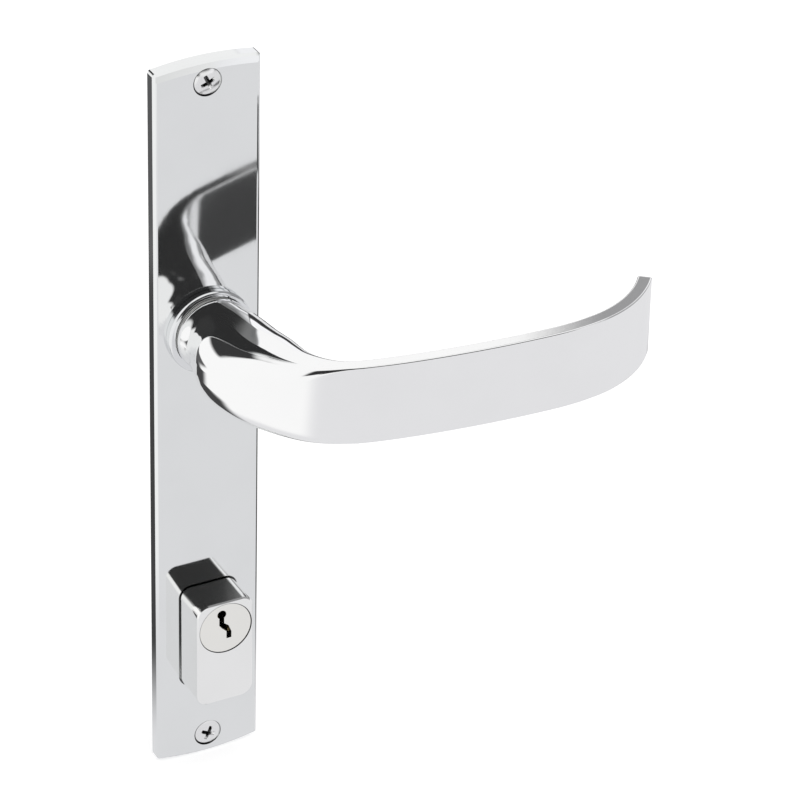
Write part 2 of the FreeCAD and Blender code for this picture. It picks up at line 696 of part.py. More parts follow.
def upright_rod(radius, y, low, high):
    """Many-sided upright bar below the plug's axis, between two heights from that axis."""
    corners = []
    for index in range(PIN_SIDES):
        turn = 2 * math.pi * index / PIN_SIDES
        corners.append(Vector(radius * math.cos(turn), y + radius * math.sin(turn), PLUG_AXIS_Z + low))
    foot = Part.Face(Part.makePolygon(corners + corners[:1]))
    return foot.extrude(Vector(0, 0, high - low))


def cylinder_body():
    body = cylinder_prism(CYLINDER_FRONT, CYLINDER_BACK)
    rim = [e for e in body.Edges if abs(e.CenterOfMass.y - CYLINDER_FRONT) < 1e-3]
    body = body.makeChamfer(CYLINDER_EDGE, rim)
    z = PLUG_AXIS_Z
    face_back = CYLINDER_FRONT + PLUG_FACE_THICKNESS + PLUG_FACE_GAP
    screw_height = z - CYLINDER_FALL + CYLINDER_SCREW_HEIGHT
    screw_start = Vector(-CYLINDER_WIDTH, CYLINDER_BACK - CYLINDER_SCREW_SETBACK, screw_height)
    tools = [
        rod(PLUG_FACE_RADIUS + PLUG_FACE_GAP, CYLINDER_FRONT - 1, face_back, 0, z),
        rod(PLUG_BORE, CYLINDER_FRONT, CYLINDER_BACK + 1, 0, z),
        Part.makeCylinder(CYLINDER_SCREW_RADIUS, CYLINDER_WIDTH * 2, screw_start, Vector(1, 0, 0)),
    ]
    for y in pin_places():
        tools.append(upright_rod(CHAMBER_RADIUS, y, -CYLINDER_FALL - 1, 0))
    return body.cut(tools)


def cylinder_plug():
    """Plug with its face disc, keyway, chambers and the flatted tail that carries the cam."""
    z = PLUG_AXIS_Z
    face_back = CYLINDER_FRONT + PLUG_FACE_THICKNESS
    face = rod(PLUG_FACE_RADIUS, CYLINDER_FRONT, face_back, 0, z)
    barrel = rod(PLUG_RADIUS, face_back - OVERLAP, CYLINDER_BACK, 0, z)
    tail_start = CYLINDER_BACK - OVERLAP
    tail_end = PLUG_CLIP_BACK + TAIL_END
    half = TAIL_FLATS / 2
    flats = block(-TAIL_RADIUS, TAIL_RADIUS, tail_start, tail_end, z - half, z + half)
    tail = rod(TAIL_RADIUS, tail_start, tail_end, 0, z).common(flats)
    groove_floor = TAIL_RADIUS - CIRCLIP_GROOVE_DEPTH
    groove = tube(TAIL_RADIUS + 1, groove_floor, PLUG_CLIP_FRONT, PLUG_CLIP_BACK, 0, z)
    keyway_back = CYLINDER_BACK - KEYWAY_END_WALL
    blade = prism([(x, z + height) for x, height in KEYWAY_BLADE], CYLINDER_FRONT - 1, keyway_back)
    head_x, head_height = KEYWAY_HEAD_PLACE
    head = rod(KEYWAY_HEAD_RADIUS, CYLINDER_FRONT - 1, keyway_back, head_x, z + head_height)
    chamber_top = SHEAR_GAP - PLUG_RADIUS + max(KEY_PIN_LENGTHS) + PIN_HEADROOM
    chambers = [upright_rod(CHAMBER_RADIUS, y, -PLUG_RADIUS - 1, chamber_top) for y in pin_places()]
    return face.fuse([barrel, tail]).cut([groove, blade, head] + chambers)


def key_pin(index):
    """Pin in the plug, as long as its cut in the key asks, its lower end at the shear line."""
    y = pin_places()[index]
    low = SHEAR_GAP - PLUG_RADIUS
    top = low + KEY_PIN_LENGTHS[index]
    pin = upright_rod(PIN_RADIUS, y, low, top)
    tip = [e for e in pin.Edges if abs(e.CenterOfMass.z - PLUG_AXIS_Z - top) < 1e-3]
    return pin.makeChamfer(KEY_PIN_POINT, tip)


def driver_top():
    return -PLUG_BORE - SHEAR_GAP


def driver_pin(index):
    top = driver_top()
    return upright_rod(PIN_RADIUS, pin_places()[index], top - DRIVER_LENGTH, top)


def pin_spring(index):
    """Spring under the driver, as the sleeve that its turns fill."""
    y = pin_places()[index]
    top = driver_top() - DRIVER_LENGTH
    low = CAP_THICKNESS - CYLINDER_FALL
    sleeve = upright_rod(PIN_RADIUS, y, low, top)
    return sleeve.cut(upright_rod(PIN_RADIUS - PIN_SPRING_WALL, y, low - 1, top + 1))


def chamber_caps():
    """Round caps pressed into the mouths of the chambers."""
    low = -CYLINDER_FALL
    high = CAP_THICKNESS - CYLINDER_FALL
    return Part.makeCompound([upright_rod(CHAMBER_RADIUS, y, low, high) for y in pin_places()])


def cylinder_cam():
    """Flat cam on the plug's tail, with the tongue that throws the bolt."""
    front = CAM_FRONT
    back = CAM_BACK
    half = CAM_TONGUE / 2
    ring = rod(CAM_HUB_RADIUS, front, back)
    tongue = block(-half, half, front, back, -CAM_REACH + half, 0)
    nose = rod(half, front, back, 0, half - CAM_REACH)
    cam = ring.fuse([tongue, nose])
    cam.rotate(Vector(0, 0, 0), Vector(0, 1, 0), CAM_ANGLE)
    bore_half = TAIL_FLATS / 2 + SPINDLE_CLEARANCE
    bore = rod(TAIL_RADIUS + SPINDLE_CLEARANCE, front - 1, back + 1)
    reach = TAIL_RADIUS + 1
    bore = bore.common(block(-reach, reach, front - 1, back + 1, -bore_half, bore_half))
    cam = cam.cut(bore).removeSplitter()
    cam.translate(Vector(0, 0, PLUG_AXIS_Z))
    return cam


def plug_clip():
    groove = TAIL_RADIUS - CIRCLIP_GROOVE_DEPTH
    wall = PLUG_CLIP_WALL + CIRCLIP_GROOVE_DEPTH
    return snap_ring(groove, wall, PLUG_CLIP_THICKNESS, PLUG_CLIP_FRONT, PLUG_AXIS_Z)


def all_pieces():
    pieces = {
        "backplate": backplate(),
        "fixing_screws": fixing_screws(),
        "collar_ring": collar_ring(),
        "bearing_bush": bearing_bush(),
        "spring_housing": spring_housing(),
        "stop_disc": stop_disc(),
        "hub_circlip": hub_circlip(),
        "return_spring": return_spring(),
        "housing_cover": housing_cover(),
        "lever_handle": lever_handle(),
        "square_spindle": square_spindle(),
        "spindle_grub_screw": spindle_grub_screw(),
        "cylinder_body": cylinder_body(),
        "cylinder_plug": cylinder_plug(),
        "cylinder_cam": cylinder_cam(),
        "plug_clip": plug_clip(),
        "chamber_caps": chamber_caps(),
    }
    for index in range(PIN_COUNT):
        pieces["key_pin_%d" % (index + 1)] = key_pin(index)
        pieces["driver_pin_%d" % (index + 1)] = driver_pin(index)
        pieces["pin_spring_%d" % (index + 1)] = pin_spring(index)
    return pieces


def main():
    os.makedirs("parts", exist_ok=True)
    for name, shape in all_pieces().items():
        shape.exportStep("parts/%s.step" % name)
        print(name, len(shape.Solids), shape.isValid(), round(shape.Volume, 1))


main()
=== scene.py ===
"""Finished surfaces, metals and studio for a gate lock handle.

The solid model is loaded as a fixed frame. The operators set up the studio, give the solids their
metals, and make the lever, the collar and the screws as surfaces worked out from the sizes in
their property groups. The panel in the sidebar lists them all.
Everything is in metres, with the front towards -Y, +Z up and the lever pointing to +X.
"""

import math

import bmesh
import bpy
import numpy as np
from bpy.props import FloatProperty, FloatVectorProperty, IntProperty, PointerProperty
from bpy.types import Operator, Panel, PropertyGroup
from mathutils import Matrix, Vector


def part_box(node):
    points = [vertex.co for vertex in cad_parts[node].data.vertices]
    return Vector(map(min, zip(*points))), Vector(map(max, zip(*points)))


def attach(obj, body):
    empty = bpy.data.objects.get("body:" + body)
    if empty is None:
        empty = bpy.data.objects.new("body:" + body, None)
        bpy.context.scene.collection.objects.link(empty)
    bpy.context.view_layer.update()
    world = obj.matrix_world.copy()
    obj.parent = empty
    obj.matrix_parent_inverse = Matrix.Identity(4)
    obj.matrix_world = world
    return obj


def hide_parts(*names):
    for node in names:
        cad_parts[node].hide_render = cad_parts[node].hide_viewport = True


bl_info = {
    "name": "Gate Lock Handle",
    "version": (1, 0, 0),
    "blender": (4, 5, 0),
    "location": "View3D > Sidebar > Gate Lock",
    "description": "Finished surfaces, metals and studio for a gate lock handle",
    "category": "Object",
}

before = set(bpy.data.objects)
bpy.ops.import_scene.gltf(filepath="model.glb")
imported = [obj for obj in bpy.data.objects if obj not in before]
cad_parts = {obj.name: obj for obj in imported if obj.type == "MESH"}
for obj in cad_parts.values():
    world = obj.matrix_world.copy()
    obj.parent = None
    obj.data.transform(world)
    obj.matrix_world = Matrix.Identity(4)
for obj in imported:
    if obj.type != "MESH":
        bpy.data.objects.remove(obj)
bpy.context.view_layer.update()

PLATE_LOW, PLATE_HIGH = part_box("backplate")
COLLAR_LOW, COLLAR_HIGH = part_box("collar_ring")
BUSH_LOW, BUSH_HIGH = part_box("bearing_bush")
PLUG_LOW, PLUG_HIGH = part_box("cylinder_plug")
SCREW_LOW, SCREW_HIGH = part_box("fixing_screws")
GRUB_LOW, GRUB_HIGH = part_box("spindle_grub_screw")

# Points nearer than this become one; the least length that is divided by; the cosine past which
# two directions count as one line
MERGE_DISTANCE = 1e-6
LEAST_LENGTH = 1e-12
STRAIGHT_COSINE = 0.999999
# Angle in degrees past which an edge stays sharp
SHARP_ANGLE = 34.0

# How far the plate's ends bow outwards in their middle
END_BOW = 0.0013
# A face looks forwards or backwards when its normal's Y is past this
FACING_LIMIT = 0.5

# Sections at even steps along the neck and the elbow: how far the lever reaches from its centre
# line on its outer side and on its inner side, half its height and its corners' radius. After the
# last row the grip is flat.
NECK_SECTIONS = np.array([
    (0.0104, 0.0110, 0.0106, 0.0104),
    (0.0099, 0.0116, 0.0108, 0.0102),
    (0.0105, 0.0120, 0.0112, 0.0099),
    (0.0116, 0.0123, 0.0115, 0.0098),
    (0.0119, 0.0123, 0.0116, 0.0095),
    (0.0112, 0.0119, 0.0116, 0.0086),
    (0.0098, 0.0109, 0.01165, 0.0073),
    (0.0081, 0.0093, 0.01165, 0.0062),
    (0.0064, 0.0072, 0.01165, 0.0048),
    (0.0047, 0.0052, 0.01165, 0.0031),
    (0.0031, 0.0033, 0.01165, 0.0016),
    (0.0021, 0.0021, 0.01165, 0.0007),
])
# Largest corner radius, as a share of the half height or half width that bounds it
ROUNDEST_CORNER = 0.995
# Smallest corner radius at the rounded tip, as a share of the grip's edge rounding
TIP_CORNER = 0.05
# Where the points of a section's flat sides lie, as shares of the side
FLAT_SIDE_POINTS = (0.04, 0.5, 0.96)
# Corners of the round hole for the grub screw, and how much longer than half the grip's height
# the cut is, so that it runs past both its ends
HOLE_CORNERS = 64
HOLE_OVERRUN = 0.002

# Rings of a screw's head and of its thread
HEAD_RINGS = 60
THREAD_RINGS = 90
# Where the wall of the cross recess starts and ends, as shares of half an arm's width
RECESS_WALL = (1.25, 0.8)
# Length of the recess's sloping floor, as a share of its span
RECESS_FLOOR = 0.28
# Painted shade in the recess: share of twice the recess's depth, and how much shade is painted at
# that depth
RECESS_SHADE_LEVELS = ((0.22, 0.0), (0.34, 0.92), (0.70, 0.92), (0.95, 0.0))
# Grey of the painted shade in the recess
RECESS_SHADE_GREY = 0.03

# Painted shade in the gaps round the plug and the screws' heads: how near the seat's depth it
# shows, its soft edge's width and its grey
GAP_SHADE_DEPTH = 0.003
GAP_SHADE_SOFTNESS = 0.00006
GAP_SHADE_GREY = 0.02
# Sides on which the painted gap shade is wider, towards where its shadow falls, as shares of the
# shift along X and Z
PLUG_SHADE_SIDE = (0.64, -0.77)
SEAT_SHADE_SIDE = (-0.5, 0.0)

# Handled metal: detail of the clouds and of the wipe marks, range of the clouds that shows,
# scale of the wipe marks along X, Y and Z, and the bump's depth
CLOUD_DETAIL = 4.0
WIPE_DETAIL = 6.0
CLOUD_RANGE = (0.42, 0.75)
WIPE_SCALE = (900.0, 900.0, 140.0)
GRAIN_DEPTH = 0.0002
# Metals of the solids inside the lock and behind the plate: name, colour setting, roughness,
# haze, grain and the starts of the solids' names
HIDDEN_METALS = (
    ("Zinc casting", "zinc", 0.42, 0.15, 0.2, ("spring_housing",)),
    ("Plated steel", "steel", 0.3, 0.12, 0.06,
     ("stop_disc", "housing_cover", "cylinder_cam", "square_spindle")),
    ("Spring steel", "spring", 0.34, 0.1, 0.05,
     ("hub_circlip", "return_spring", "plug_clip", "pin_spring")),
    ("Black oxide", "black", 0.4, 0.1, 0.08, ("spindle_grub_screw",)),
    ("Turned brass", "brass", 0.22, 0.1, 0.05, ("chamber_caps", "key_pin", "driver_pin")),
)
NYLON_ROUGHNESS = 0.45

# Lamps: name, place, power and width; and the point that they all face
LAMPS = (
    ("Key lamp", (-0.6, -1.2, 1.4), 6.0, 1.2),
    ("Fill lamp", (1.2, -0.9, 1.0), 3.0, 1.2),
)
LAMP_AIM = (0.05, 0.0, -0.03)
SENSOR_WIDTH = 36.0
# The floor to the camera: its grey under the lamps, and the glow that lifts it to white
FLOOR_SEEN_GREY = 0.8
FLOOR_SEEN_GLOW = 0.45
# Blue of a panel against its red and green
PANEL_BLUE = 1.02

# What polished metal sees of the room above the floor: left and right bearing, low and high angle
# and softness in degrees, then brightness; each panel lies over those before it
ROOM_PANELS = (
    (30.0, 149.4, -10.0, 52.0, 1.2, 0.33),
    (112.0, 146.0, 16.0, 60.0, 3.0, 1.0),
    (140.0, 149.6, 12.0, 28.0, 1.0, 1.0),
    (24.0, 42.0, -6.0, 8.0, 3.0, 1.0),
    (34.0, 52.0, 11.0, 31.0, 6.0, 1.0),
    (-45.0, 31.0, 6.0, 56.0, 8.0, 0.03),
    (118.0, 190.0, -10.0, 13.0, 4.0, 0.04),
    (-28.0, -2.0, -10.0, 25.0, 3.0, 0.04),
    (-190.0, -122.0, 20.0, 60.0, 8.0, 0.04),
)
# What it sees of the floor: left, right, near and far edge and softness in metres, then brightness
FLOOR_PANELS = (
    (-0.10, 9.0, -9.0, 9.0, 0.08, 0.80),
    (-0.15, 0.26, 0.03, 9.0, 0.05, 0.06),
    (-0.30, -0.12, 0.25, 9.0, 0.06, 0.11),
)


# Settings


def length(name, default, description):
    """A size in metres that a user may change."""
    return FloatProperty(
        name=name, description=description, default=default, unit="LENGTH", precision=5
    )


def angle(name, default, description):
    """A turn that a user may change, given here in degrees."""
    return FloatProperty(
        name=name, description=description, default=math.radians(default), subtype="ANGLE"
    )


def colour(name, default, description):
    """A colour that a user may change."""
    return FloatVectorProperty(
        name=name, description=description, default=default,
        subtype="COLOR", size=3, min=0.0, max=1.0,
    )


def factor(name, default, description):
    """A share from 0 to 1 that a user may change."""
    return FloatProperty(
        name=name, description=description, default=default,
        min=0.0, max=1.0, subtype="FACTOR",
    )


class LeverSettings(PropertyGroup):
    """Centre line and section of the lever, from the collar to the tip."""

    neck_gap: length("Neck gap", 0.00025, "Gap between the bush's flange and the neck")
    neck_length: length("Neck length", 0.0132, "Straight stretch that leaves the collar")
    sweep_length: length("Sweep length", 0.0227, "Slow bend after the straight stretch")
    sweep_turn: angle("Sweep turn", 26.3, "How far the slow bend turns")
    elbow_length: length("Elbow length", 0.0208, "Tight bend into the grip")
    elbow_turn: angle("Elbow turn", 49.6, "How far the tight bend turns")
    ease_length: length("Ease length", 0.013, "First stretch of the flat grip")
    ease_turn: angle("Ease turn", 4.8, "How far the first stretch turns")
    bow_length: length("Bow length", 0.0402, "Long slightly bowed stretch under the hand")
    bow_turn: angle("Bow turn", 7.6, "How far the bowed stretch turns")
    shoulder_length: length("Shoulder length", 0.0143, "Stretch between the bow and the curl")
    shoulder_turn: angle("Shoulder turn", 12.4, "How far that stretch turns")
    curl_length: length("Curl length", 0.0265, "Curl that brings the tip back to the gate")
    curl_turn: angle("Curl turn", 42.1, "How far the curl turns")
    grip_height: length("Grip height", 0.0233, "Height of the flat grip")
    grip_thickness: length("Grip thickness", 0.0039, "Thickness of the flat grip")
    grip_edge: length("Grip edge", 0.0004, "Rounding of the grip's edges")
    journal_radius: length("Journal radius", 0.008, "Radius of the journal that turns in the bush")
    spool_radius: length("Spool radius", 0.0069, "Radius of the hub's end behind the plate")
    hub_back: length("Hub back", 0.005, "How far the hub reaches behind the plate")
    finish: colour("Lever colour", (0.94, 0.94, 0.94), "Colour of the polished chrome")
    roughness: factor("Lever roughness", 0.05, "Roughness of the polished chrome")


class CollarSettings(PropertyGroup):
    """Round nut between the plate and the lever."""

    edge: length("Edge", 0.0009, "Rounding of the collar's outer edge")
    lip: length("Lip", 0.0002, "Rounding of the collar's inner edge")
    finish: colour("Collar colour", (0.80, 0.81, 0.82), "Colour of the chromed ring")
    roughness: factor("Collar roughness", 0.07, "Roughness of the chromed ring")


class ScrewSettings(PropertyGroup):
    """Raised countersunk screws with a cross recess."""

    head_radius: length("Head radius", 0.0038, "Radius of the screw's head")
    head_rise: length("Head rise", 0.0007, "Height of the head's dome")
    neck_radius: length("Neck radius", 0.0016, "Radius of the plain neck under the head")
    thread_radius: length("Thread radius", 0.002, "Outside radius of the thread")
    thread_pitch: length("Thread pitch", 0.0007, "Distance from one turn of the thread to the next")
    recess_span: length("Recess span", 0.0044, "Width of the cross recess from tip to tip")
    recess_width: length("Recess width", 0.0009, "Width of one arm of the recess")
    recess_depth: length("Recess depth", 0.0017, "Depth of the recess in its middle")
    recess_turn: angle("Recess turn", 24.0, "How far the recess is turned from upright")
    finish: colour("Screw colour", (0.88, 0.88, 0.88), "Colour of the chromed steel")
    roughness: factor("Screw roughness", 0.14, "Roughness of the chromed steel")


class FinishSettings(PropertyGroup):
    """Colours and roughness of the pieces that keep their solids."""

    plate: colour("Plate colour", (0.85, 0.86, 0.86), "Colour of the plate's chrome")
    plate_roughness: factor("Plate roughness", 0.05, "Roughness of the plate's chrome")
    back_roughness: factor("Back roughness", 0.30, "How much rougher the plate's back is")
    edge_width: length("Edge width", 0.0011, "Width of the bright edge down the plate's sides")
    end_width: length("End width", 0.0027, "Width of the bright edge across the plate's ends")
    edge_slope: factor("Edge slope", 0.30, "Fall of the bright edges over their width")
    nickel: colour("Cylinder colour", (0.95, 0.95, 0.94), "Colour of the cylinder's nickel")
    nickel_roughness: factor("Cylinder roughness", 0.10, "Roughness of the cylinder's nickel")
    plug: colour("Plug colour", (0.93, 0.92, 0.88), "Colour of the plug's nickel")
    # The dark gaps round the plug and the screws' heads are painted shade, wider on one side
    gap_shade_width: length("Gap width", 0.00026, "Mean width of the dark gap round the plug")
    gap_shade_shift: length("Gap shift", 0.00022, "How much wider the gap is at the lower right")
    seat_gap_shade: length("Seat gap", 0.00028, "Width of the dark gap round each screw's head")
    zinc: colour("Zinc colour", (0.58, 0.59, 0.60), "Colour of the bare zinc casting")
    steel: colour("Steel colour", (0.62, 0.60, 0.55), "Colour of the zinc plated steel")
    spring: colour("Spring colour", (0.40, 0.41, 0.43), "Colour of the hardened steel")
    brass: colour("Brass colour", (0.78, 0.62, 0.34), "Colour of the turned brass")
    nylon: colour("Nylon colour", (0.66, 0.66, 0.64), "Colour of the bush")
    black: colour("Black colour", (0.12, 0.12, 0.13), "Colour of the black oxide")


class StageSettings(PropertyGroup):
    """Camera, floor, background and lamps."""

    azimuth: angle("Azimuth", 28.28, "How far the camera stands to the left of the front")
    elevation: angle("Elevation", 31.64, "How far the camera stands above the lever")
    roll: angle("Roll", 1.52, "How far the camera is rolled")
    distance: length("Distance", 1.2448, "Distance from the camera to the point it looks at")
    aim_x: length("Aim X", 0.0610, "Point the camera looks at, to the right of the lever's axis")
    aim_z: length("Aim Z", -0.0406, "Point the camera looks at, above the lever's axis")
    lens: FloatProperty(
        name="Lens", description="Focal length on a 36 mm wide sensor", default=201.1
    )
    floor_size: length("Floor size", 6.0, "Width of the floor")
    floor_colour: colour("Floor colour", (0.90, 0.90, 0.90), "Colour of the floor")
    daylight: factor("Daylight", 0.75, "Brightness of the plain light from all round")


# Shapes


def smooth_step(value, start, end):
    """Cubic that leaves 0 at start and reaches 1 at end with no slope at either."""
    share = np.clip((value - start) / (end - start), 0.0, 1.0)
    return share * share * (3 - 2 * share)


def unit_rows(vectors):
    """Rows of an array, each scaled to length 1."""
    lengths = np.linalg.norm(vectors, axis=1, keepdims=True)
    return vectors / np.maximum(lengths, LEAST_LENGTH)


def round_corners(points, radii, steps=6):
    """Polyline with each corner replaced by an arc of its own radius.

    The arc's centre lies on the corner's bisector, at radius / sin(half the corner's angle). The
    arc runs between the feet of the two perpendiculars from that centre, as an even turn from one
    to the other.
    """
    points = np.asarray(points, float)
    radii = np.asarray(radii, float)[:, None]
    back = unit_rows(np.roll(points, 1, axis=0) - points)
    ahead = unit_rows(np.roll(points, -1, axis=0) - points)
    cosine = np.sum(back * ahead, axis=1, keepdims=True)
    half = np.arccos(np.clip(cosine, -STRAIGHT_COSINE, STRAIGHT_COSINE)) / 2
    bisector = unit_rows(back + ahead)
    centre = points + bisector * radii / np.sin(half)
    first = points + back * radii / np.tan(half) - centre
    last = points + ahead * radii / np.tan(half) - centre
    turn = math.pi - 2 * half
    share = np.linspace(0.0, 1.0, steps + 1)[None, :, None]
    weight_first = np.sin((1 - share) * turn[:, None]) / np.sin(turn)[:, None]
    weight_last = np.sin(share * turn[:, None]) / np.sin(turn)[:, None]
    arcs = centre[:, None] + first[:, None] * weight_first + last[:, None] * weight_last
    return arcs.reshape(-1, 2)


def lathe(profile, segments):
    """Grid of a profile of (radius, Y) turned about the Y axis, at radius * (cos t, sin t)."""
    turn = np.linspace(0.0, 2 * math.pi, segments, endpoint=False)
    radius = profile[:, :1]
    return np.stack(
        [radius * np.cos(turn), profile[:, 1:] + 0 * turn, radius * np.sin(turn)], axis=-1
    )


def grid_faces(rows, columns):
    """Corners of the quads of a grid whose last column meets its first."""
    row = np.arange(rows - 1)[:, None] * columns
    column = np.arange(columns)[None, :]
    following = (column + 1) % columns
    corners = [
        row + column, row + following, row + columns + following, row + columns + column
    ]
    return np.stack(np.broadcast_arrays(*corners), axis=-1).reshape(-1, 4)


def surface_object(name, grid):
    """Mesh object made of a grid of points that is closed round its columns."""
    mesh = bpy.data.meshes.new(name)
    faces = grid_faces(*grid.shape[:2])
    mesh.from_pydata(grid.reshape(-1, 3).tolist(), [], faces.tolist())
    edit = bmesh.new()
    edit.from_mesh(mesh)
    bmesh.ops.remove_doubles(edit, verts=edit.verts, dist=MERGE_DISTANCE)
    bmesh.ops.recalc_face_normals(edit, faces=edit.faces)
    edit.to_mesh(mesh)
    edit.free()
    piece = bpy.data.objects.new(name, mesh)
    bpy.context.scene.collection.objects.link(piece)
    shade(piece)
    return piece


def shade(piece):
    """Smooth shading that keeps edges sharp past an angle."""
    piece.data.shade_smooth()
    piece.data.set_sharp_from_angle(angle=math.radians(SHARP_ANGLE))
    weighted = piece.modifiers.new("Weighted normals", "WEIGHTED_NORMAL")
    weighted.keep_sharp = True


def drill(piece, centre, radius, depth):
    """Cut a round hole along Z out of a piece and shade it again."""
    tool_mesh = bpy.data.meshes.new("drill")
    edit = bmesh.new()
    bmesh.ops.create_cone(
        edit, cap_ends=True, segments=HOLE_CORNERS, radius1=radius, radius2=radius, depth=depth
    )
    bmesh.ops.translate(edit, verts=edit.verts, vec=centre)
    edit.to_mesh(tool_mesh)
    edit.free()
    tool = bpy.data.objects.new("drill", tool_mesh)
    bpy.context.scene.collection.objects.link(tool)
    piece.modifiers.clear()
    cut = piece.modifiers.new("Hole", "BOOLEAN")
    cut.operation = "DIFFERENCE"
    cut.solver = "EXACT"
    cut.object = tool
    whole = piece.data
    cut_piece = piece.evaluated_get(bpy.context.evaluated_depsgraph_get())
    drilled = bpy.data.meshes.new_from_object(cut_piece)
    piece.modifiers.clear()
    piece.data = drilled
    if len(drilled.polygons) <= len(whole.polygons):
        raise RuntimeError(f"no hole was cut in {piece.name}")
    bpy.data.meshes.remove(whole)
    bpy.data.meshes.remove(tool_mesh)
    drilled.name = piece.name
    shade(piece)


def closed(grid):
    """Grid with both ends drawn in to the middle of their last loops."""
    first = np.broadcast_to(grid[:1].mean(axis=1, keepdims=True), grid[:1].shape)
    last = np.broadcast_to(grid[-1:].mean(axis=1, keepdims=True), grid[-1:].shape)
    return np.concatenate([first, grid, last])


# Materials


def new_group(name, inputs, outputs):
    """Empty node group with named sockets, each a name, a socket kind and a default."""
    group = bpy.data.node_groups.new(name, "ShaderNodeTree")
    for label, kind, default in inputs:
        socket = group.interface.new_socket(name=label, in_out="INPUT", socket_type=kind)
        socket.default_value = default
    for label, kind in outputs:
        group.interface.new_socket(name=label, in_out="OUTPUT", socket_type=kind)
    return group, group.nodes.new("NodeGroupInput"), group.nodes.new("NodeGroupOutput")


def add(tree, kind, **values):
    """New node with its properties set."""
    node = tree.nodes.new(kind)
    for name, value in values.items():
        setattr(node, name, value)
    return node


def wire(tree, value, socket):
    """Link a socket to another one, or set it to a number, a vector or a colour."""
    if isinstance(value, bpy.types.NodeSocket):
        tree.links.new(value, socket)
    else:
        socket.default_value = value


def calculate(tree, operation, *values):
    """Socket with the result of a calculation on numbers and sockets."""
    node = add(tree, "ShaderNodeMath", operation=operation)
    for value, socket in zip(values, node.inputs):
        wire(tree, value, socket)
    return node.outputs[0]


def rescale(tree, value, start, end, to_start=0.0, to_end=1.0, curve="LINEAR"):
    """Socket with a value carried from one range to another and held at its ends."""
    node = add(tree, "ShaderNodeMapRange", clamp=True, interpolation_type=curve)
    ends = (("From Min", start), ("From Max", end), ("To Min", to_start), ("To Max", to_end))
    for label, number in (("Value", value), *ends):
        wire(tree, number, node.inputs[label])
    return node.outputs["Result"]


def blend(tree, share, first, second):
    """Socket with a colour that goes from a first to a second as the share rises."""
    node = add(tree, "ShaderNodeMix", data_type="RGBA")
    for label, value in (("Factor", share), ("A", first), ("B", second)):
        wire(tree, value, node.inputs[label])
    return node.outputs["Result"]


def noise(tree, place, scale, detail):
    """Socket with a noise's value."""
    node = add(tree, "ShaderNodeTexNoise")
    for label, value in (("Vector", place), ("Scale", scale), ("Detail", detail)):
        wire(tree, value, node.inputs[label])
    return node.outputs["Fac"]


def object_place(tree):
    """Socket with the shaded point in the object's own coordinates."""
    return add(tree, "ShaderNodeTexCoord").outputs["Object"]


def components(tree, vector):
    """Sockets with a vector's X, Y and Z."""
    split = add(tree, "ShaderNodeSeparateXYZ")
    tree.links.new(vector, split.inputs["Vector"])
    return [split.outputs[axis] for axis in "XYZ"]


def grey(value):
    """Opaque grey of a brightness."""
    return (value, value, value, 1.0)


def handled_metal_group():
    """Metal that hands have wiped: cloudy roughness, faint wipe marks and a slight tint."""
    group, source, result = new_group(
        "Handled metal",
        [
            ("Color", "NodeSocketColor", (0.8, 0.8, 0.8, 1.0)),
            ("Dull color", "NodeSocketColor", (0.6, 0.6, 0.6, 1.0)),
            ("Roughness", "NodeSocketFloat", 0.1),
            ("Haze", "NodeSocketFloat", 0.04),
            ("Dulling", "NodeSocketFloat", 0.1),
            ("Scale", "NodeSocketFloat", 60.0),
        ],
        [
            ("Color", "NodeSocketColor"),
            ("Roughness", "NodeSocketFloat"),
            ("Height", "NodeSocketFloat"),
        ],
    )
    place = object_place(group)
    given = source.outputs
    cloud = rescale(group, noise(group, place, given["Scale"], CLOUD_DETAIL), *CLOUD_RANGE)
    stretch = add(group, "ShaderNodeMapping")
    stretch.inputs["Scale"].default_value = WIPE_SCALE
    group.links.new(place, stretch.inputs["Vector"])
    wipe = noise(group, stretch.outputs["Vector"], 1.0, WIPE_DETAIL)
    haze = calculate(group, "MULTIPLY_ADD", cloud, given["Haze"], given["Roughness"])
    dulling = calculate(group, "MULTIPLY", cloud, given["Dulling"])
    tint = blend(group, dulling, given["Color"], given["Dull color"])
    for label, value in (("Color", tint), ("Roughness", haze), ("Height", wipe)):
        group.links.new(value, result.inputs[label])
    return group


def metal(name, base, roughness, haze=0.03, dulling=0.1, dull=0.8, scale=60.0, grain=0.02):
    """Metal with the handled group between its colour, roughness and bump."""
    material = bpy.data.materials.new(name)
    material.use_nodes = True
    tree = material.node_tree
    link = tree.links.new
    shader = tree.nodes["Principled BSDF"]
    shader.inputs["Metallic"].default_value = 1.0
    group = add(tree, "ShaderNodeGroup")
    group.node_tree = bpy.data.node_groups.get("Handled metal") or handled_metal_group()
    for label, value in (
        ("Color", (*base, 1.0)),
        ("Dull color", (*(dull * share for share in base), 1.0)),
        ("Roughness", roughness),
        ("Haze", haze),
        ("Dulling", dulling),
        ("Scale", scale),
    ):
        group.inputs[label].default_value = value
    bump = add(tree, "ShaderNodeBump")
    bump.inputs["Strength"].default_value = grain
    bump.inputs["Distance"].default_value = GRAIN_DEPTH
    link(group.outputs["Color"], shader.inputs["Base Color"])
    link(group.outputs["Roughness"], shader.inputs["Roughness"])
    link(group.outputs["Height"], bump.inputs["Height"])
    link(bump.outputs["Normal"], shader.inputs["Normal"])
    return material


def plastic(name, base, roughness):
    """Moulded plastic with a fine leathery bump."""
    material = metal(name, base, roughness, haze=0.1, grain=0.1)
    material.node_tree.nodes["Principled BSDF"].inputs["Metallic"].default_value = 0.0
    return material


